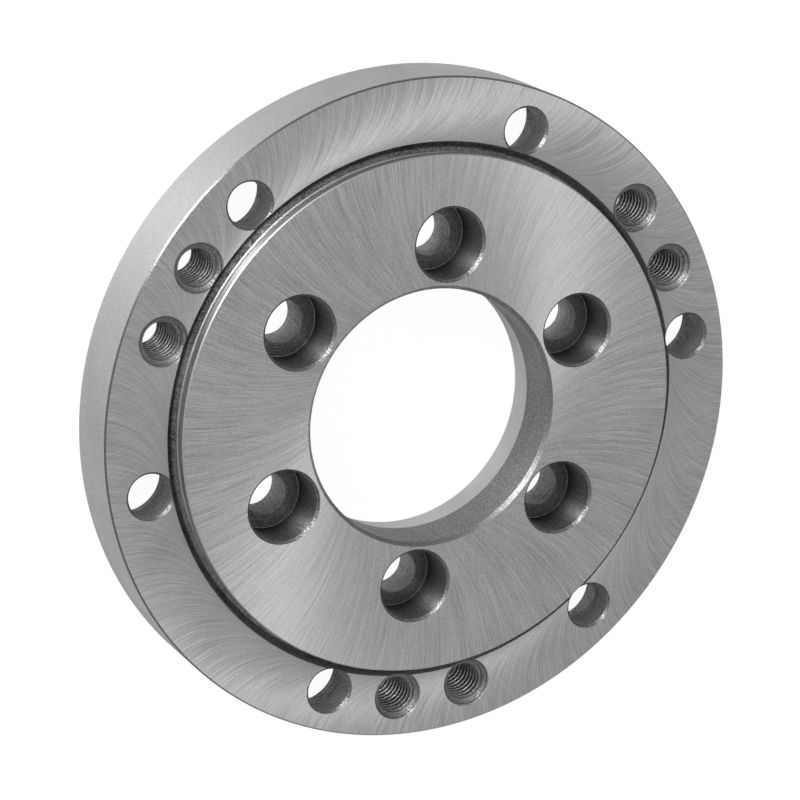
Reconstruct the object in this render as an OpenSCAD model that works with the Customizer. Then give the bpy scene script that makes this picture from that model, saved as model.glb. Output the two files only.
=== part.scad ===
// Adapter plate that carries a lathe chuck on a short taper spindle nose.
// One steel turning, drilled, counterbored and tapped.
// Origin at the middle of the back face, +Z along the axis towards the chuck.
// The plate lies on its back face.

/* [Body] */
// Outside diameter of the rim
rim_d = 160; // [142:1:240]
// Height of the rim, from the back face to the ring face that the chuck seats on
rim_h = 17.2; // [15.5:0.1:30]
// Chamfer on both edges of the rim
rim_chamfer = 0.4; // [0.2:0.1:1.5]

/* [Register] */
// How far the spigot that centres the chuck stands in from the rim
register_inset = 17.5; // [16.5:0.1:19]
// Height of the spigot above the ring face
register_h = 3.2; // [2.6:0.1:6]
// Chamfer on the edge of the spigot
register_chamfer = 0.25; // [0.1:0.05:0.6]

/* [Relief groove] */
// Width of the groove in the ring face round the spigot
groove_w = 2.4; // [1.8:0.1:3]
// Depth of the groove below the ring face
groove_depth = 2; // [1:0.1:4]
// How far the outer wall of the groove leans in from its upper edge to the floor
groove_lean = 0.6; // [0.4:0.1:1]
// Depth that the neck is cut back into the foot of the spigot
neck_depth = 0.55; // [0.45:0.05:0.8]
// Height of the neck's upper edge above the ring face
neck_rise = 0.4; // [0.2:0.1:0.8]
// Height of the collar that is left below the neck, from the floor of the groove
collar_h = 1; // [0.4:0.1:1.2]
// How far the collar's side stands in from the side of the spigot
collar_step = 0.25; // [0.2:0.05:0.35]

/* [Bore and spindle taper] */
// Diameter of the bore
bore_d = 61.4; // [60.4:0.1:62.4]
// Chamfer on the front edge of the bore
bore_chamfer = 0.9; // [0.4:0.1:1.2]
// Diameter of the taper recess in the plane of the back face
taper_d = 63.513; // [63:0.001:64.2]
// Half angle of the taper recess, in degrees
taper_half_angle = 7.125; // [7:0.125:8.25]
// Chamfer on the back edge of the taper recess
taper_chamfer = 0.2; // [0.1:0.1:0.5]

/* [Spindle screws] */
// Circle of the holes that are counterbored from the front
spindle_pcd = 82.6; // [82:0.1:84]
// Number of these holes
spindle_count = 6; // [3:1:8]
// Clearance hole for the screw's shank
spindle_hole_d = 10.5; // [9:0.5:13]
// Counterbore for the screw's head
spindle_head_d = 17; // [14:0.5:17.5]
// Depth of the counterbore below the front face
spindle_head_depth = 11.2; // [6:0.1:12]

/* [Chuck screws] */
// How far the circle of the plain and the tapped holes lies in from the rim
chuck_inset = 10; // [9.7:0.1:11]
// Number of plain holes, counterbored from the back
plain_count = 6; // [3:3:6]
// Angle from the first tapped hole to the first plain hole, in degrees
plain_angle = 45; // [44:0.5:46]
// Clearance hole for the screw's shank
plain_hole_d = 10.5; // [9:0.5:11.5]
// Counterbore for the screw's head
plain_head_d = 17; // [14:0.5:17.5]
// Depth of the counterbore above the back face
plain_head_depth = 10.6; // [6:0.1:12]
// Number of pairs of tapped holes
tapped_pairs = 3; // [1:1:3]
// Angle between the two tapped holes of a pair, in degrees
tapped_pitch_angle = 15; // [14:0.5:16]
// Nominal diameter of the thread
thread_d = 10; // [8:0.5:10.5]
// Pitch of the thread
thread_pitch = 1.5; // [1:0.25:1.75]

/* [Drive button] */
// Diameter of the pocket in the back face for the spindle's drive button
button_d = 14.7; // [13:0.1:16]
// Depth of the pocket
button_depth = 8; // [5:0.5:9]

/* [Hole edges] */
// Chamfer on the edges of the clearance holes, counterbores and pocket
hole_chamfer = 0.45; // [0.2:0.05:0.5]
// How far the lead chamfer of a thread reaches past its nominal radius
thread_lead = 1; // [0.4:0.1:1.1]

/* [Hidden] */

$fn = 96;
section_fn = 180;
steel = [0.62, 0.62, 0.63];
// How far a cut runs past the surface that it opens through
past = 1;

rim_r = rim_d / 2;
register_r = rim_r - register_inset;
chuck_pcd = rim_d - 2 * chuck_inset;
bore_r = bore_d / 2;
total_h = rim_h + register_h;

// The relief groove starts at the foot of the spigot
groove_floor = rim_h - groove_depth;
groove_outer_r = register_r + groove_w;
neck_r = register_r - neck_depth;
neck_top = rim_h + neck_rise;
collar_r = register_r - collar_step;
collar_top = groove_floor + collar_h;

// The taper narrows from the back face until it meets the bore
taper_slope = tan(taper_half_angle);
taper_depth = (taper_d / 2 - bore_r) / taper_slope;
taper_edge_r = taper_d / 2 - taper_chamfer * taper_slope;

// A 60 degree thread leaves a core this much smaller than its nominal diameter
core_d = thread_d - 1.0825 * thread_pitch;
thread_chamfer = (thread_d - core_d) / 2 + thread_lead;

spindle_angles = [for (i = [0 : spindle_count - 1]) i * 360 / spindle_count];
plain_angles = [for (i = [0 : plain_count - 1]) plain_angle + i * 360 / plain_count];
tapped_angles = [for (i = [0 : tapped_pairs - 1], k = [0, 1])
    i * 360 / tapped_pairs + k * tapped_pitch_angle];
// The pocket lies half way between the first two spindle holes
button_angle = 180 / spindle_count;

// Turned section, from the mouth of the taper round the outside and back down the bore
section = [
    [taper_edge_r + taper_chamfer, 0],
    [rim_r - rim_chamfer, 0],
    [rim_r, rim_chamfer],
    [rim_r, rim_h - rim_chamfer],
    [rim_r - rim_chamfer, rim_h],
    [groove_outer_r, rim_h],
    [groove_outer_r - groove_lean, groove_floor],
    [collar_r, groove_floor],
    [collar_r, collar_top],
    [neck_r, collar_top],
    [neck_r, neck_top],
    [register_r, neck_top + neck_depth],
    [register_r, total_h - register_chamfer],
    [register_r - register_chamfer, total_h],
    [bore_r + bore_chamfer, total_h],
    [bore_r, total_h - bore_chamfer],
    [bore_r, taper_depth],
    [taper_edge_r, taper_chamfer]
];

// Places the children on a circle at each angle
module on_circle(pcd, angles) {
    for (a = angles) rotate([0, 0, a]) translate([pcd / 2, 0, 0]) children();
}

// Hole up from height z, of length h, with its upper edge chamfered
module hole_up(d, z, h, chamfer) {
    r = d / 2;
    translate([0, 0, z]) cylinder(h = h + past, r = r);
    translate([0, 0, z + h - chamfer])
        cylinder(h = chamfer + past, r1 = r, r2 = r + chamfer + past);
}

// Hole down from height z, of length h, with its lower edge chamfered
module hole_down(d, z, h, chamfer) {
    translate([0, 0, z]) mirror([0, 0, 1]) hole_up(d, 0, h, chamfer);
}

// The head sits in the front face, and the shank leaves through the back
module spindle_hole() {
    floor_z = total_h - spindle_head_depth;
    hole_up(spindle_head_d, floor_z, spindle_head_depth, hole_chamfer);
    hole_down(spindle_hole_d, floor_z + past, floor_z + past, hole_chamfer);
}

// The head sits in the back face, and the shank leaves through the ring face
module plain_hole() {
    hole_down(plain_head_d, plain_head_depth, plain_head_depth, hole_chamfer);
    hole_up(plain_hole_d, plain_head_depth - past, rim_h - plain_head_depth + past, hole_chamfer);
}

// Drilled to the core of the thread, with a lead chamfer at both ends
module tapped_hole() {
    middle = rim_h / 2;
    hole_up(core_d, middle, middle, thread_chamfer);
    hole_down(core_d, middle, middle, thread_chamfer);
}

module button_pocket() {
    hole_down(button_d, button_depth, button_depth, hole_chamfer);
}

module adapter_plate() {
    color(steel)
    difference() {
        rotate_extrude($fn = section_fn) polygon(section);
        on_circle(spindle_pcd, spindle_angles) spindle_hole();
        on_circle(chuck_pcd, plain_angles) plain_hole();
        on_circle(chuck_pcd, tapped_angles) tapped_hole();
        on_circle(spindle_pcd, [button_angle]) button_pocket();
    }
}

adapter_plate();
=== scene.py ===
import math

import bpy
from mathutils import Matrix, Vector


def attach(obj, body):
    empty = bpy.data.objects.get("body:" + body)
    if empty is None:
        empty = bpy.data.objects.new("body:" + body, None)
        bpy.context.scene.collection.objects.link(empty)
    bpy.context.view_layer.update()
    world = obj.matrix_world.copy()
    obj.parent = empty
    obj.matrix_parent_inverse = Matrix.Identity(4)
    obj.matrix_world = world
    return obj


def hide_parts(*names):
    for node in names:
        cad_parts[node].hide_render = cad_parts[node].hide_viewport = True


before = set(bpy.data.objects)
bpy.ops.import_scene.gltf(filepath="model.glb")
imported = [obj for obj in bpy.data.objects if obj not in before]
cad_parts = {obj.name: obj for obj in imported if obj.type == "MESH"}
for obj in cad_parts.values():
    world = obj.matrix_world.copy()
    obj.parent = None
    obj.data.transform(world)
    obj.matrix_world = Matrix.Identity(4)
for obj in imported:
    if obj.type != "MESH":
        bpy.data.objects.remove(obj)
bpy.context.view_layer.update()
mm = 0.001  # lengths in the dictionaries are in millimetres, but in metres for the floor and lights
scene = bpy.context.scene
scene.view_settings.view_transform = "Standard"  # plain product shot, white stays white


# the photograph's own viewing angle, through a long lens and rolled over; angles in degrees
camera = {
    "location": (-200.741, 340.17, 692.165), "rotation": (-16.8859, -24.9512, -23.8013),
    "lens": 150.402, "sensor": 36, "nearest": 20,
}
bpy.ops.object.camera_add(
    location=[v * mm for v in camera["location"]],
    rotation=[math.radians(v) for v in camera["rotation"]],
)
cameraObject = bpy.context.object
cameraObject.name = "photoCamera"
cameraObject.data.lens = camera["lens"]
cameraObject.data.sensor_width = camera["sensor"]
cameraObject.data.clip_start = camera["nearest"] * mm
scene.camera = cameraObject
print("camera placed")


# node helpers
def addNode(tree, kind, inputs=None, **settings):
    node = tree.nodes.new(kind)
    for name, value in settings.items():
        setattr(node, name, value)
    for key, value in (inputs or {}).items():
        if isinstance(value, bpy.types.NodeSocket):
            tree.links.new(value, node.inputs[key])
        else:
            node.inputs[key].default_value = value
    return node


def calc(tree, operation, a, b=0.0, c=0.0, clamp=False):
    node = addNode(tree, "ShaderNodeMath", {0: a, 1: b, 2: c}, operation=operation)
    node.use_clamp = clamp
    return node.outputs[0]


def noise(tree, place, scale, detail=2.0, roughness=0.5):
    inputs = {"Vector": place, "Scale": scale, "Detail": detail, "Roughness": roughness}
    return addNode(tree, "ShaderNodeTexNoise", inputs).outputs["Fac"]


def vector(tree, x=0.0, y=0.0, z=0.0):
    return addNode(tree, "ShaderNodeCombineXYZ", {0: x, 1: y, 2: z}).outputs[0]


def parts(tree, value):
    return addNode(tree, "ShaderNodeSeparateXYZ", {0: value}).outputs


def remap(tree, value, low, high, newLow=0.0, newHigh=1.0):
    ends = {"From Min": low, "From Max": high, "To Min": newLow, "To Max": newHigh}
    return addNode(tree, "ShaderNodeMapRange", {"Value": value, **ends}).outputs[0]


def mixShare(tree, a, b, share):
    return calc(tree, "MULTIPLY_ADD", calc(tree, "SUBTRACT", b, a), share, a)


def blend(tree, factor, a, b, way="MIX"):
    colors = {0: factor, 6: a, 7: b}
    return addNode(tree, "ShaderNodeMix", colors, data_type="RGBA", blend_type=way).outputs[2]


def scaleColor(tree, color, level):
    grey = addNode(tree, "ShaderNodeCombineColor", {0: level, 1: level, 2: level}).outputs[0]
    return blend(tree, 1.0, color, grey, "MULTIPLY")


# draws a pattern out into lines along the last part of its coordinate
def drawOut(tree, along, stretch):
    split = parts(tree, along)
    return vector(tree, split[0], split[1], calc(tree, "MULTIPLY", split[2], stretch))


def newGroup(name, inputs, outputs):
    group = bpy.data.node_groups.new(name, "ShaderNodeTree")
    for way, sockets in (("INPUT", inputs), ("OUTPUT", outputs)):
        for kind, socketName in sockets:
            group.interface.new_socket(socketName, in_out=way, socket_type=kind)
    start = group.nodes.new("NodeGroupInput")
    end = group.nodes.new("NodeGroupOutput")
    return group, start.outputs, end.inputs


floatSocket, vectorSocket, colorSocket = "NodeSocketFloat", "NodeSocketVector", "NodeSocketColor"


# fine scratches with torn grit between them; the broad and the deep ones have their share of the
# fineness, and each range is spread over nought to one
scratches = {
    "fineRange": (0.36, 0.64), "broadShare": 0.16, "broadRange": (0.3, 0.7),
    "deepShare": 0.45, "deepRange": (0.62, 0.78), "deepDepth": 0.5, "gritScale": 4300.0,
}


def makeScratchGroup():
    s = scratches
    group, given, out = newGroup(
        "steelScratches",
        [(vectorSocket, "Along"), (vectorSocket, "Place"), (floatSocket, "Fineness"),
         (floatSocket, "Stretch"), (floatSocket, "Grit")],
        [(floatSocket, "Fine"), (floatSocket, "Broad"), (floatSocket, "Height")],
    )
    flat = drawOut(group, given["Along"], given["Stretch"])
    broadScale, deepScale = [calc(group, "MULTIPLY", given["Fineness"], s[share])
                             for share in ("broadShare", "deepShare")]
    fine = noise(group, flat, given["Fineness"], roughness=0.65)
    broad = noise(group, flat, broadScale, detail=3.0, roughness=0.6)
    deep = remap(group, noise(group, flat, deepScale, detail=1.0), *s["deepRange"])
    grit = remap(group, noise(group, given["Place"], s["gritScale"], detail=1.0), *s["fineRange"])
    lines = remap(group, fine, *s["fineRange"])
    group.links.new(mixShare(group, lines, grit, given["Grit"]), out["Fine"])
    group.links.new(remap(group, broad, *s["broadRange"]), out["Broad"])
    scored = calc(group, "MULTIPLY", deep, s["deepDepth"])
    group.links.new(calc(group, "SUBTRACT", fine, scored), out["Height"])
    return group


# steel colour and roughness from the marks on it, with faint handling smudges that dull it
smudges = {"scale": 55.0, "range": (0.42, 0.7), "dulling": 0.6}


def makeToneGroup():
    group, given, out = newGroup(
        "steelTone",
        [(vectorSocket, "Place"), (colorSocket, "Steel"), (floatSocket, "Marks"),
         (floatSocket, "Contrast"), (floatSocket, "Roughness"), (floatSocket, "Smudge"),
         (floatSocket, "Polish")],
        [(colorSocket, "Color"), (floatSocket, "Roughness")],
    )
    cloud = noise(group, given["Place"], smudges["scale"], detail=4.0, roughness=0.6)
    smudge = calc(group, "MULTIPLY", remap(group, cloud, *smudges["range"]), given["Smudge"])
    swing = calc(group, "MULTIPLY", calc(group, "SUBTRACT", given["Marks"], 0.5), given["Contrast"])
    level = calc(group, "SUBTRACT", calc(group, "ADD", swing, 1.0), smudge)
    group.links.new(scaleColor(group, given["Steel"], level), out["Color"])
    dulled = calc(group, "MULTIPLY", smudge, smudges["dulling"])
    polished = calc(group, "MULTIPLY", swing, given["Polish"])
    rough = calc(group, "ADD", given["Roughness"], dulled)
    group.links.new(calc(group, "SUBTRACT", rough, polished, clamp=True), out["Roughness"])
    return group


# rings left by a tool, wavering a little, some even and some not, and the speckle of torn metal,
# which takes its share of the marks; the coordinate across the rings is in metres
toolRings = {
    "waverScale": 260.0, "unevenScale": 0.9, "unevenRange": (0.25, 0.75), "evenHeight": 0.3,
    "speckRange": (0.34, 0.66),
}


def makeRingGroup():
    r = toolRings
    group, given, out = newGroup(
        "toolRings",
        [(floatSocket, "Across"), (vectorSocket, "Place"), (floatSocket, "Pitch"),
         (floatSocket, "Waver"), (floatSocket, "Grit"), (floatSocket, "Speckle"),
         (floatSocket, "Even")],
        [(floatSocket, "Height"), (floatSocket, "Marks")],
    )
    sway = calc(group, "SUBTRACT", noise(group, given["Place"], r["waverScale"]), 0.5)
    drift = calc(group, "MULTIPLY", sway, given["Waver"])
    turns = calc(group, "ADD", calc(group, "DIVIDE", given["Across"], given["Pitch"]), drift)
    uneven = noise(group, vector(group, turns), r["unevenScale"], detail=3.0, roughness=0.7)
    wave = calc(group, "SINE", calc(group, "MULTIPLY", turns, 2 * math.pi))
    grit = noise(group, given["Place"], given["Grit"], roughness=0.7)
    ridges = calc(group, "ADD", calc(group, "MULTIPLY", wave, r["evenHeight"]), uneven)
    regular = calc(group, "MULTIPLY_ADD", wave, 0.5, 0.5)
    lines = mixShare(group, remap(group, uneven, *r["unevenRange"]), regular, given["Even"])
    specks = remap(group, grit, *r["speckRange"])
    for name, ring, speck in (("Height", ridges, grit), ("Marks", lines, specks)):
        step = calc(group, "MULTIPLY", calc(group, "SUBTRACT", speck, ring), given["Speckle"])
        group.links.new(calc(group, "ADD", ring, step), out[name])
    return group


scratchGroup = makeScratchGroup()
toneGroup = makeToneGroup()
ringGroup = makeRingGroup()


def placeGroup(tree, group, inputs):
    return addNode(tree, "ShaderNodeGroup", inputs, node_tree=group).outputs


def startMaterial(name, look):
    material = bpy.data.materials.new(name)
    material.use_nodes = True
    tree = material.node_tree
    shader = tree.nodes["Principled BSDF"]
    shader.inputs["Metallic"].default_value = 1.0
    shader.inputs["Anisotropic"].default_value = look["anisotropy"]
    place = addNode(tree, "ShaderNodeTexCoord").outputs["Object"]
    return material, tree, shader, place


def finishMaterial(tree, shader, place, look, marks, height):
    tone = placeGroup(tree, toneGroup, {
        "Place": place, "Steel": look["color"] + (1,), "Marks": marks, "Contrast": look["contrast"],
        "Roughness": look["roughness"], "Smudge": look["smudge"], "Polish": look["polish"]})
    tree.links.new(tone["Color"], shader.inputs["Base Color"])
    tree.links.new(tone["Roughness"], shader.inputs["Roughness"])
    bump = addNode(tree, "ShaderNodeBump", {
        "Height": height, "Strength": look["bump"], "Distance": look["depth"] * mm})
    tree.links.new(bump.outputs[0], shader.inputs["Normal"])
    return tone["Color"]


# swirl of a rotary grinder: the arc of one grinding wheel, turned about the axis of the plate; a
# wheel is its radius, the distance of its centre from that axis, and the side it leans to
def addSwirl(tree, place, wheelRadius, wheelDistance, side):
    split = parts(tree, place)
    radius = calc(tree, "SQRT", calc(tree, "ADD", calc(tree, "MULTIPLY", split[0], split[0]),
                                     calc(tree, "MULTIPLY", split[1], split[1])))
    angle = calc(tree, "ARCTAN2", split[1], split[0])
    distance, wheel = wheelDistance * mm, wheelRadius * mm
    reach = calc(tree, "ADD", calc(tree, "MULTIPLY", radius, radius), distance ** 2 - wheel ** 2)
    cosine = calc(tree, "DIVIDE", reach, calc(tree, "MULTIPLY", radius, 2 * distance))
    turn = calc(tree, "ARCCOSINE", calc(tree, "MINIMUM", cosine, 0.9999))  # just inside the arc's end
    centre = calc(tree, "MULTIPLY_ADD", turn, -side, angle)
    centreX = calc(tree, "MULTIPLY", calc(tree, "COSINE", centre), distance)
    centreY = calc(tree, "MULTIPLY", calc(tree, "SINE", centre), distance)
    along = vector(tree, centreX, centreY, radius)
    spoke = vector(tree, calc(tree, "SUBTRACT", split[0], centreX),
                   calc(tree, "SUBTRACT", split[1], centreY))
    across = addNode(tree, "ShaderNodeVectorMath", {0: spoke}, operation="NORMALIZE").outputs[0]
    return along, across


# no two scratches lie quite alike, so each catches the light a little before or after the next
def addLean(tree, along, across, look):
    strokes = noise(tree, drawOut(tree, along, look["stretch"]), look["strokes"], detail=1.0)
    lean = calc(tree, "MULTIPLY", calc(tree, "SUBTRACT", strokes, 0.5), look["lean"])
    part = parts(tree, across)
    leaningX = calc(tree, "SUBTRACT", part[0], calc(tree, "MULTIPLY", part[1], lean))
    return vector(tree, leaningX, calc(tree, "MULTIPLY_ADD", part[0], lean, part[1]))


# the ground faces; a second swirl crosses the first, a little coarser and with a share of the marks
groundLooks = {
    "bossFace": {
        "color": (0.6, 0.6, 0.605), "roughness": 0.44, "anisotropy": 0.75, "contrast": 0.85,
        "smudge": 0.06, "polish": 0.3, "bump": 0.6, "depth": 0.035, "fineness": 5600.0,
        "stretch": 0.013, "grit": 0.3, "wheel": (70, 89, 1), "second": (60, 82, -1),
        "secondShare": 0.2, "strokes": 2800.0, "lean": 0.6},
    "ringFace": {
        "color": (0.58, 0.58, 0.585), "roughness": 0.45, "anisotropy": 0.7, "contrast": 0.64,
        "smudge": 0.08, "polish": 0.4, "bump": 0.8, "depth": 0.045, "fineness": 4600.0,
        "stretch": 0.023, "grit": 0.3, "wheel": (20.6, 85.4, -1), "second": (20.6, 85.4, 1),
        "secondShare": 0.22, "strokes": 2700.0, "lean": 1.1},
    "backFace": {
        "color": (0.58, 0.58, 0.585), "roughness": 0.42, "anisotropy": 0.7, "contrast": 0.85,
        "smudge": 0.1, "polish": 0.3, "bump": 0.5, "depth": 0.02, "fineness": 5600.0,
        "stretch": 0.013, "grit": 0.3, "wheel": (75, 90, -1), "second": (75, 90, 1),
        "secondShare": 0.3, "strokes": 2800.0, "lean": 0.6},
}
grinding = {"secondFineness": 0.7, "fineShare": 0.86, "broadShare": 0.14}


def groundMaterial(name):
    look = groundLooks[name]
    material, tree, shader, place = startMaterial(name, look)
    along, across = addSwirl(tree, place, *look["wheel"])
    crossed, _ = addSwirl(tree, place, *look["second"])
    main, other = [placeGroup(tree, scratchGroup, {
        "Along": line, "Place": place, "Fineness": look["fineness"] * share,
        "Stretch": look["stretch"], "Grit": look["grit"]})
        for line, share in ((along, 1.0), (crossed, grinding["secondFineness"]))]
    tree.links.new(addLean(tree, along, across, look), shader.inputs["Tangent"])
    share = look["secondShare"]
    fine = calc(tree, "MULTIPLY", main["Fine"], grinding["fineShare"])
    marks = calc(tree, "ADD", fine, calc(tree, "MULTIPLY", main["Broad"], grinding["broadShare"]))
    marks = calc(tree, "ADD", calc(tree, "MULTIPLY", marks, 1 - share),
                 calc(tree, "MULTIPLY", other["Fine"], share))
    height = calc(tree, "ADD", main["Height"], calc(tree, "MULTIPLY", other["Height"], share))
    finishMaterial(tree, shader, place, look, marks, height)
    return material


# the turned and drilled surfaces; drag is the share of the marks that chips and screws have scored
# up and down a wall
turnedLooks = {
    "rimSide": {
        "color": (0.55, 0.55, 0.555), "roughness": 0.52, "anisotropy": 0.6, "contrast": 0.42,
        "smudge": 0.1, "bump": 0.6, "depth": 0.03, "pitch": 0.3, "waver": 0.8, "grit": 2800.0,
        "speckle": 0.75},
    "rimEdge": {
        "color": (0.33, 0.33, 0.335), "roughness": 0.26, "anisotropy": 0.2, "contrast": 0.8,
        "smudge": 0.2, "bump": 0.8, "depth": 0.05, "pitch": 0.25, "waver": 1.0, "grit": 2600.0,
        "speckle": 0.6},
    "registerWall": {
        "color": (0.41, 0.41, 0.415), "roughness": 0.45, "anisotropy": 0.92, "contrast": 0.5,
        "smudge": 0.1, "bump": 0.4, "depth": 0.03, "pitch": 0.3, "waver": 0.8, "grit": 2400.0,
        "speckle": 0.5},
    "registerEdge": {
        "color": (0.7, 0.7, 0.705), "roughness": 0.42, "anisotropy": 0.3, "contrast": 0.6,
        "smudge": 0.1, "bump": 0.4, "depth": 0.03, "pitch": 0.25, "waver": 1.0, "grit": 2200.0,
        "speckle": 0.6},
    "boreEdge": {
        "color": (0.41, 0.41, 0.415), "roughness": 0.32, "anisotropy": 0.2, "contrast": 0.9,
        "smudge": 0.2, "bump": 1.0, "depth": 0.09, "pitch": 0.3, "waver": 1.2, "grit": 2800.0,
        "speckle": 0.8},
    "chamfer": {
        "color": (0.34, 0.34, 0.345), "roughness": 0.36, "anisotropy": 0.2, "contrast": 1.3,
        "smudge": 0.2, "bump": 1.0, "depth": 0.16, "pitch": 0.25, "waver": 1.0, "grit": 2400.0,
        "speckle": 0.8, "drag": 0.4},
    "groove": {
        "color": (0.35, 0.345, 0.34), "roughness": 0.42, "anisotropy": 0.0, "contrast": 1.8,
        "smudge": 0.4, "bump": 0.9, "depth": 0.12, "pitch": 0.7, "waver": 1.2, "grit": 1700.0,
        "speckle": 0.4},
    "grooveWall": {
        "color": (0.62, 0.615, 0.61), "roughness": 0.42, "anisotropy": 0.0, "contrast": 1.1,
        "smudge": 0.3, "bump": 0.9, "depth": 0.08, "pitch": 0.4, "waver": 1.4, "grit": 2200.0,
        "speckle": 0.6},
    "ledge": {
        "color": (0.95, 0.95, 0.95), "roughness": 0.4, "anisotropy": 0.85, "contrast": 0.3,
        "smudge": 0.1, "bump": 0.3, "depth": 0.02, "pitch": 0.2, "waver": 0.5, "grit": 1500.0,
        "speckle": 0.3},
    "bore": {
        "color": (0.33, 0.33, 0.33), "roughness": 0.5, "anisotropy": 0.5, "contrast": 0.95,
        "smudge": 0.15, "bump": 1.0, "depth": 0.05, "pitch": 0.22, "waver": 1.0, "grit": 3200.0,
        "speckle": 0.92},
    "taper": {
        "color": (0.7, 0.7, 0.705), "roughness": 0.4, "anisotropy": 0.4, "contrast": 0.25,
        "smudge": 0.1, "bump": 0.3, "depth": 0.02, "pitch": 0.25, "waver": 0.4, "grit": 2200.0,
        "speckle": 0.3},
    "drilledWall": {
        "color": (0.63, 0.625, 0.625), "roughness": 0.48, "anisotropy": 0.3, "contrast": 1.3,
        "smudge": 0.4, "bump": 0.9, "depth": 0.12, "pitch": 1.0, "waver": 1.0, "grit": 1700.0,
        "speckle": 0.35, "even": 0.4, "drag": 0.15},
    "boredWall": {
        "color": (0.34, 0.335, 0.335), "roughness": 0.45, "anisotropy": 0.88, "contrast": 1.9,
        "smudge": 0.4, "bump": 1.0, "depth": 0.12, "pitch": 0.95, "waver": 0.8, "grit": 1400.0,
        "speckle": 0.3, "even": 0.4, "drag": 0.25},
    "holeFloor": {
        "color": (0.19, 0.188, 0.185), "roughness": 0.42, "anisotropy": 0.0, "contrast": 1.4,
        "smudge": 0.3, "bump": 0.8, "depth": 0.08, "pitch": 0.7, "waver": 0.7, "grit": 1600.0,
        "speckle": 0.5},
    "lead": {
        "color": (0.42, 0.415, 0.415), "roughness": 0.5, "anisotropy": 0.4, "contrast": 1.2,
        "smudge": 0.4, "bump": 1.0, "depth": 0.12, "pitch": 0.5, "waver": 0.7, "grit": 2000.0,
        "speckle": 0.5, "even": 0.2},
    "thread": {
        "color": (0.24, 0.236, 0.232), "roughness": 0.46, "anisotropy": 0.0, "contrast": 1.2,
        "smudge": 0.4, "bump": 0.7, "depth": 0.05, "pitch": 0.2, "waver": 1.0, "grit": 2400.0,
        "speckle": 0.5},
}
usualTurning = {"even": 0.1, "polish": 0.25}  # for a finish that names no other
dragMarks = {"Fineness": 2400.0, "Stretch": 0.12, "Grit": 0.2}


# painted shade darkens the roots of the threads, the foot of the counterbores, the outer corner of
# the groove and a ring round each lead, the thread crests are made lighter, and a painted highlight
# lightens the corner of a counterbore's floor; each shade runs from one place to another, which is a
# height or a distance from the hole's or the plate's axis, or from the middle of the ring
paintedShadeAndHighlight = {
    # painted shade in the thread roots, with lighter crests
    "thread": {"from": 4.22, "to": 4.6, "start": 1.7, "end": 0.05},
    # painted shade at the foot of each counterbore wall, darker towards the bottom
    "boredWall": {"from": 17.5, "to": 9.6, "start": 1.0, "end": 0.16},
    # painted highlight at the outer corner of a counterbore's floor
    "holeFloor": {"from": 8.1, "to": 8.4, "start": 1.0, "end": 2.4},
    # painted shade in the outer corner of the groove, where the outer wall shadows the floor
    "groove": {"from": 62.9, "to": 63.4, "start": 1.0, "end": 0.22},
    # painted shade in a ring round each lead, standing in for a step the cone lacks
    "lead": {"middle": 5.6, "from": 0.03, "to": 0.14, "start": 0.3, "end": 1.1},
}
threadShadeFade = {"from": 12.0, "to": 16.0, "share": 0.7}  # the painted shade in the thread roots fades towards the face, so deeper threads stay darker


def turnedMaterial(name):
    look = {**usualTurning, **turnedLooks[name]}
    material, tree, shader, place = startMaterial(name, look)
    split = parts(tree, place)
    outwards = vector(tree, split[0], split[1])
    holeUv = addNode(tree, "ShaderNodeUVMap", uv_map="aroundHole").outputs[0]
    fromMiddle, fromAxis = [
        addNode(tree, "ShaderNodeVectorMath", {0: way}, operation="LENGTH").outputs["Value"]
        for way in (outwards, holeUv)]
    spread = outwards if name == "ledge" else vector(tree, z=1.0)  # the ledge alone is turned flat
    tree.links.new(spread, shader.inputs["Tangent"])
    rings = placeGroup(tree, ringGroup, {
        "Across": fromAxis if name == "holeFloor" else split[2], "Place": place,
        "Pitch": look["pitch"] * mm, "Waver": look["waver"], "Grit": look["grit"],
        "Speckle": look["speckle"], "Even": look["even"]})
    marks, height = rings["Marks"], rings["Height"]
    if "drag" in look:
        scores = placeGroup(tree, scratchGroup, {"Along": place, "Place": place, **dragMarks})
        marks = mixShare(tree, marks, scores["Fine"], look["drag"])
        height = mixShare(tree, height, scores["Height"], look["drag"])
    tone = finishMaterial(tree, shader, place, look, marks, height)
    # the steel's colour is scaled by the painted shade and painted highlight of the table
    if name in paintedShadeAndHighlight:
        s, w = paintedShadeAndHighlight[name], threadShadeFade
        where = {"boredWall": split[2], "groove": fromMiddle}.get(name, fromAxis)
        if "middle" in s:
            where = calc(tree, "ABSOLUTE", calc(tree, "SUBTRACT", where, s["middle"] * mm))
        level = remap(tree, where, s["from"] * mm, s["to"] * mm, s["start"], s["end"])
        # the painted shade in the thread roots fades towards the face, darker deeper in the hole
        if name == "thread":
            shadeFade = remap(tree, split[2], w["from"] * mm, w["to"] * mm, 0.0, w["share"])
            level = mixShare(tree, level, 1.0, shadeFade)
        tree.links.new(scaleColor(tree, tone, level), shader.inputs["Base Color"])
    return material


finishes = list(groundLooks) + list(turnedLooks)
materials = [groundMaterial(name) for name in groundLooks]
materials += [turnedMaterial(name) for name in turnedLooks]
print("materials made:", len(materials))


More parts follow.
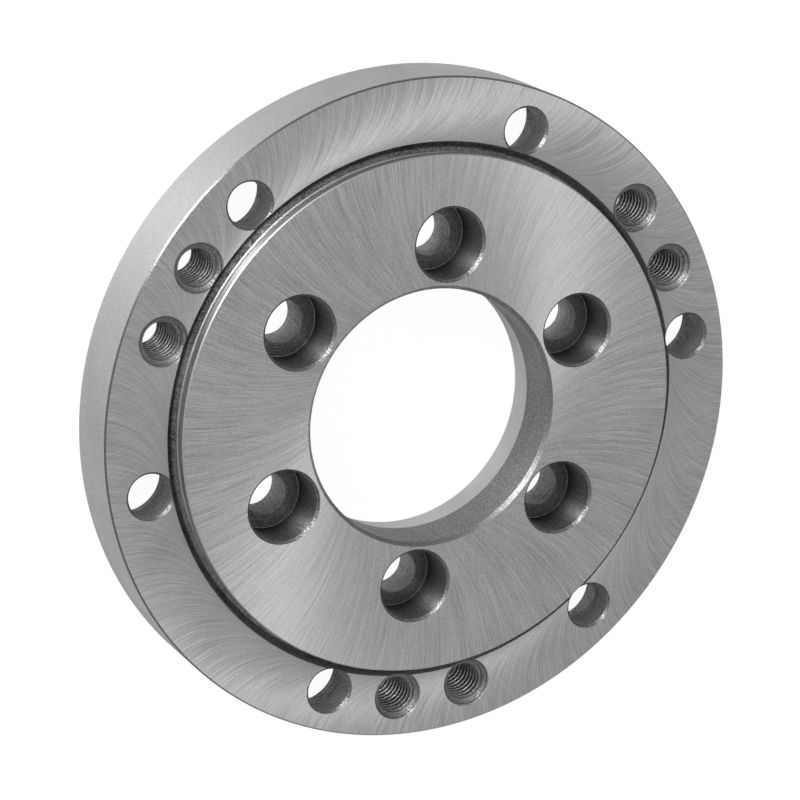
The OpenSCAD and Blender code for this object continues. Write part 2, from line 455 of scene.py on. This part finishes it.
# the plate, with the sizes of the CAD solid
plate = {
    "rimRadius": 80.0, "rimHeight": 17.2, "rimChamfer": 0.4,
    "registerRadius": 62.5, "height": 20.4, "registerChamfer": 0.25,
    "grooveRadius": 64.9, "grooveFloor": 15.2, "grooveLean": 0.6,
    "collarStep": 0.25, "collarTop": 16.2, "collarEdge": 0.12, "neckDepth": 0.55, "neckTop": 17.6,
    "boreRadius": 30.7, "boreChamfer": 0.9,
    "taperRadius": 31.7565, "taperSlope": 0.125, "taperChamfer": 0.2,
    "sides": 360, "smoothBelow": 6.8,
}
holes = {
    "spindleCircle": 41.3, "chuckCircle": 70.0, "edge": 0.6, "past": 1.0, "sides": 96,
    "shank": 5.25, "head": 8.5, "spindleHeadFloor": 9.2, "chuckHeadTop": 10.6,
    "buttonRadius": 7.35, "buttonDepth": 8.0,
    "spindleAngles": [60 * i for i in range(6)], "plainAngles": [45 + 60 * i for i in range(6)],
    "tappedAngles": [0, 15, 120, 135, 240, 255], "buttonAngle": 30,
}
thread = {
    "major": 5.0, "core": 4.188, "lead": 1.812, "pitch": 1.5, "flank": 30, "crestShare": 1 / 16,
    "overlap": 0.09, "turns": 15, "start": -2.6, "sides": 64,
}
weldGaps = {"drawn": 0.002, "cut": 0.001}  # points closer than this are merged


def pickOnly(piece):
    bpy.ops.object.select_all(action="DESELECT")
    piece.select_set(True)
    bpy.context.view_layer.objects.active = piece


def weld(gap):
    bpy.ops.mesh.select_all(action="SELECT")
    bpy.ops.mesh.remove_doubles(threshold=gap * mm)


def onCircle(circle, angle):
    turn = math.radians(angle)
    return Vector((circle * mm * math.cos(turn), circle * mm * math.sin(turn), 0))


# a line through points (radius, height), drawn from one vertex and left open for editing
def drawLine(name, points, lift=0.0):
    bpy.ops.object.select_all(action="DESELECT")
    bpy.ops.mesh.primitive_plane_add(size=mm)
    piece = bpy.context.object
    piece.name = piece.data.name = name
    bpy.ops.object.mode_set(mode="EDIT")
    bpy.ops.mesh.merge(type="CENTER")
    radius, height = points[0]
    bpy.ops.transform.translate(value=(radius * mm, 0, (height + lift) * mm))
    for nextRadius, nextHeight in points[1:]:
        step = ((nextRadius - radius) * mm, 0, (nextHeight - height) * mm)
        bpy.ops.mesh.extrude_region_move(TRANSFORM_OT_translate={"value": step})
        radius, height = nextRadius, nextHeight
    return piece


# a turned solid: the profile is drawn, then spun about Z; a profile is a list of (finish, radius,
# height), the finish being that of the face that ends there
def turnPiece(name, profile, sides):
    piece = drawLine(name, [(radius, height) for _, radius, height in profile])
    bpy.ops.mesh.select_all(action="SELECT")
    bpy.ops.mesh.spin(steps=sides, angle=2 * math.pi, center=(0, 0, 0), axis=(0, 0, 1))
    weld(weldGaps["drawn"])
    bpy.ops.mesh.normals_make_consistent(inside=False)
    bpy.ops.object.mode_set(mode="OBJECT")
    giveFinishes(piece, profile)
    return piece


def giveMaterials(mesh):
    for material in materials:
        mesh.materials.append(material)


# each face takes the finish of the part of the profile that lies nearest
def giveFinishes(piece, profile):
    mesh = piece.data
    giveMaterials(mesh)
    spans = [(b[0], (a[1] + b[1]) / 2 * mm, (a[2] + b[2]) / 2 * mm)
             for a, b in zip(profile, profile[1:])]
    for face in mesh.polygons:
        points = [mesh.vertices[i].co for i in face.vertices]
        radii = [math.hypot(p.x, p.y) for p in points]
        heights = [p.z for p in points]
        middle = ((min(radii) + max(radii)) / 2, (min(heights) + max(heights)) / 2)
        nearest = min(spans, key=lambda s: (s[1] - middle[0]) ** 2 + (s[2] - middle[1]) ** 2)
        face.material_index = finishes.index(nearest[0])


def copyTo(source, circle, angle):
    copy = source.copy()
    copy.data = source.data.copy()
    bpy.context.collection.objects.link(copy)
    for vertex in copy.data.vertices:
        vertex.co += onCircle(circle, angle)
    return copy


def joinAll(pieces, name):
    bpy.ops.object.select_all(action="DESELECT")
    for piece in pieces:
        piece.select_set(True)
    bpy.context.view_layer.objects.active = pieces[0]
    bpy.ops.object.join()
    pieces[0].name = name
    return pieces[0]


def cutAway(piece, cutter):
    pickOnly(piece)
    cut = piece.modifiers.new("cut", "BOOLEAN")
    cut.operation = "DIFFERENCE"
    cut.solver = "EXACT"
    cut.object = cutter
    bpy.ops.object.modifier_apply(modifier=cut.name)
    bpy.data.objects.remove(cutter, do_unlink=True)


def makeBlank():
    p = plate
    register = p["registerRadius"]
    collar, neck = register - p["collarStep"], register - p["neckDepth"]
    taperDepth = (p["taperRadius"] - p["boreRadius"]) / p["taperSlope"]
    taperEdge = p["taperRadius"] - p["taperChamfer"] * p["taperSlope"]
    mouth = taperEdge + p["taperChamfer"]
    profile = [
        ("backFace", mouth, 0),
        ("backFace", p["rimRadius"] - p["rimChamfer"], 0),
        ("rimEdge", p["rimRadius"], p["rimChamfer"]),
        ("rimSide", p["rimRadius"], p["rimHeight"] - p["rimChamfer"]),
        ("rimEdge", p["rimRadius"] - p["rimChamfer"], p["rimHeight"]),
        ("ringFace", p["grooveRadius"], p["rimHeight"]),
        ("grooveWall", p["grooveRadius"] - p["grooveLean"], p["grooveFloor"]),
        ("groove", collar, p["grooveFloor"]),
        ("grooveWall", collar, p["collarTop"] - p["collarEdge"]),
        ("registerEdge", collar - p["collarEdge"], p["collarTop"]),
        ("ledge", neck, p["collarTop"]),
        ("grooveWall", neck, p["neckTop"]),
        ("groove", register, p["neckTop"] + p["neckDepth"]),
        ("registerWall", register, p["height"] - p["registerChamfer"]),
        ("registerEdge", register - p["registerChamfer"], p["height"]),
        ("bossFace", p["boreRadius"] + p["boreChamfer"], p["height"]),
        ("boreEdge", p["boreRadius"], p["height"] - p["boreChamfer"]),
        ("bore", p["boreRadius"], taperDepth),
        ("taper", taperEdge, p["taperChamfer"]),
        ("chamfer", mouth, 0),
    ]
    return turnPiece("adapterPlate", profile, p["sides"])


# a stepped cutter runs from below to above; each edge that opens in a face gets its chamfer
def makeHoleCutters():
    h, total, rim = holes, plate["height"], plate["rimHeight"]
    shank, head, edge, past = h["shank"], h["head"], h["edge"], h["past"]
    core, lead = thread["core"], thread["lead"]
    spindle = [
        ("chamfer", 0, -past), ("chamfer", shank + edge + past, -past), ("chamfer", shank, edge),
        ("drilledWall", shank, h["spindleHeadFloor"]), ("holeFloor", head, h["spindleHeadFloor"]),
        ("boredWall", head, total - edge), ("chamfer", head + edge + past, total + past),
        ("chamfer", 0, total + past)]
    plain = [
        ("chamfer", 0, -past), ("chamfer", head + edge + past, -past), ("chamfer", head, edge),
        ("drilledWall", head, h["chuckHeadTop"]), ("holeFloor", shank, h["chuckHeadTop"]),
        ("drilledWall", shank, rim - edge), ("chamfer", shank + edge + past, rim + past),
        ("chamfer", 0, rim + past)]
    tapped = [
        ("lead", 0, -past), ("lead", core + lead + past, -past), ("lead", core, lead),
        ("thread", core, rim - lead), ("lead", core + lead + past, rim + past),
        ("lead", 0, rim + past)]
    button = [
        ("chamfer", 0, -past), ("chamfer", h["buttonRadius"] + edge + past, -past),
        ("chamfer", h["buttonRadius"], edge), ("drilledWall", h["buttonRadius"], h["buttonDepth"]),
        ("holeFloor", 0, h["buttonDepth"])]
    sets = [
        ("spindleCutter", spindle, h["spindleCircle"], h["spindleAngles"]),
        ("plainCutter", plain, h["chuckCircle"], h["plainAngles"]),
        ("tappedCutter", tapped, h["chuckCircle"], h["tappedAngles"]),
        ("buttonCutter", button, h["spindleCircle"], [h["buttonAngle"]])]
    cutters = []
    for name, profile, circle, angles in sets:
        first = turnPiece(name, profile, h["sides"])
        cutters += [copyTo(first, circle, angle) for angle in angles]
        bpy.data.objects.remove(first, do_unlink=True)
    return joinAll(cutters, "holeCutters")


# one tooth of the thread is drawn as a line and screwed upwards, right-handed
def makeThreadCutters():
    t = thread
    inner = t["core"] - t["overlap"]
    middle = t["pitch"] / 2
    crest = t["pitch"] * t["crestShare"]
    foot = crest + (t["major"] - inner) * math.tan(math.radians(t["flank"]))
    tooth = [
        (inner, 0), (inner, middle - foot), (t["major"], middle - crest),
        (t["major"], middle + crest), (inner, middle + foot), (inner, t["pitch"])]
    tap = drawLine("threadCutter", tooth, lift=t["start"])
    bpy.ops.object.mode_set(mode="OBJECT")
    screw = tap.modifiers.new("screw", "SCREW")
    screw.screw_offset = t["pitch"] * mm
    screw.iterations = t["turns"]
    screw.steps = screw.render_steps = t["sides"]
    bpy.ops.object.modifier_apply(modifier=screw.name)
    bpy.ops.object.mode_set(mode="EDIT")
    weld(weldGaps["drawn"])
    bpy.ops.mesh.select_all(action="DESELECT")
    bpy.ops.mesh.select_non_manifold()  # the open ends
    bpy.ops.mesh.edge_face_add()
    bpy.ops.mesh.select_all(action="SELECT")
    bpy.ops.mesh.normals_make_consistent(inside=False)
    bpy.ops.object.mode_set(mode="OBJECT")
    giveMaterials(tap.data)
    for face in tap.data.polygons:
        face.material_index = finishes.index("thread")
    cutters = [copyTo(tap, holes["chuckCircle"], angle) for angle in holes["tappedAngles"]]
    bpy.data.objects.remove(tap, do_unlink=True)
    return joinAll(cutters, "threadCutters")


# the cuts leave doubled points where edges meet
def mergeDoubles(piece):
    pickOnly(piece)
    bpy.ops.object.mode_set(mode="EDIT")
    weld(weldGaps["cut"])
    bpy.ops.object.mode_set(mode="OBJECT")


# the place of each face corner about the axis of the hole that is nearest
def mapAroundHoles(piece):
    h = holes
    centres = [onCircle(h["spindleCircle"], a).xy for a in h["spindleAngles"] + [h["buttonAngle"]]]
    centres += [onCircle(h["chuckCircle"], a).xy for a in h["plainAngles"] + h["tappedAngles"]]
    mesh = piece.data
    uvs = mesh.uv_layers.new(name="aroundHole")
    for face in mesh.polygons:
        centre = min(centres, key=lambda c: (c - face.center.xy).length_squared)
        for loop in face.loop_indices:
            uvs.data[loop].uv = mesh.vertices[mesh.loops[loop].vertex_index].co.xy - centre


body = makeBlank()
print("blank turned:", len(body.data.polygons), "faces")
cutAway(body, makeHoleCutters())
print("holes cut:", len(body.data.polygons), "faces")
cutAway(body, makeThreadCutters())
print("threads cut:", len(body.data.polygons), "faces")
mergeDoubles(body)
mapAroundHoles(body)
pickOnly(body)
bpy.ops.object.shade_smooth_by_angle(angle=math.radians(plate["smoothBelow"]))

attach(body, "root")
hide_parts("adapter_plate")


# one white sheet, a hair below the plate so that the two faces don't meet; it glows to the camera
# alone, with a weak shadow left
floor = {
    "size": 6.0, "below": 2e-5, "glow": 1.05, "glowShare": 0.9, "roughness": 0.9,
    "colors": ((0.8, 0.8, 0.8, 1), (0.82, 0.82, 0.82, 1)), "grainScale": 400.0, "grainRange": (0.3, 0.7),
}


def makeFloor():
    bpy.ops.object.select_all(action="DESELECT")
    bpy.ops.mesh.primitive_plane_add(size=floor["size"], location=(0, 0, -floor["below"]))
    sheet = bpy.context.object
    sheet.name = "paleFloor"
    material = bpy.data.materials.new("paleFloor")
    material.use_nodes = True
    tree = material.node_tree
    shader = tree.nodes["Principled BSDF"]
    place = addNode(tree, "ShaderNodeTexCoord").outputs["Object"]
    grain = remap(tree, noise(tree, place, floor["grainScale"], detail=3.0), *floor["grainRange"])
    tree.links.new(blend(tree, grain, *floor["colors"]), shader.inputs["Base Color"])
    shader.inputs["Roughness"].default_value = floor["roughness"]
    glow = addNode(tree, "ShaderNodeEmission", {"Strength": floor["glow"]})
    seen = addNode(tree, "ShaderNodeLightPath").outputs["Is Camera Ray"]
    share = calc(tree, "MULTIPLY", seen, floor["glowShare"])
    mix = addNode(tree, "ShaderNodeMixShader", {0: share, 1: shader.outputs[0], 2: glow.outputs[0]})
    tree.links.new(mix.outputs[0], tree.nodes["Material Output"].inputs["Surface"])
    sheet.data.materials.append(material)


# lights by azimuth and elevation about the plate, in degrees, and distance and size in metres
lights = {
    "keyLight": {"azimuth": 111, "elevation": 30, "distance": 1.6, "size": 0.6, "power": 7},
    "topLight": {"azimuth": 105, "elevation": 68, "distance": 6.0, "size": 1.2, "power": 86},
    "sideLight": {"azimuth": 112, "elevation": 6, "distance": 1.6, "size": 0.35, "power": 9},
}
surroundings = {"low": 0.1, "horizon": 0.16, "high": 0.97, "overhead": 0.62}


def makeLights():
    for name, light in lights.items():
        azimuth, elevation = math.radians(light["azimuth"]), math.radians(light["elevation"])
        way = Vector((math.cos(elevation) * math.cos(azimuth),
                      math.cos(elevation) * math.sin(azimuth), math.sin(elevation)))
        bpy.ops.object.light_add(type="AREA", location=way * light["distance"])
        lamp = bpy.context.object
        lamp.name = name
        lamp.rotation_euler = way.to_track_quat("Z", "Y").to_euler()
        lamp.data.shape = "SQUARE"
        lamp.data.size = light["size"]
        lamp.data.energy = light["power"]
    sky = bpy.data.worlds.new("paleWorld")
    sky.use_nodes = True
    tree = sky.node_tree
    height = parts(tree, addNode(tree, "ShaderNodeTexCoord").outputs["Generated"])[2]
    s = surroundings
    strength = remap(tree, height, s["low"], s["high"], s["horizon"], s["overhead"])
    tree.links.new(strength, tree.nodes["Background"].inputs["Strength"])
    tree.nodes["Background"].inputs["Color"].default_value = (1, 1, 1, 1)
    scene.world = sky


makeFloor()
makeLights()
print("floor and lights placed")
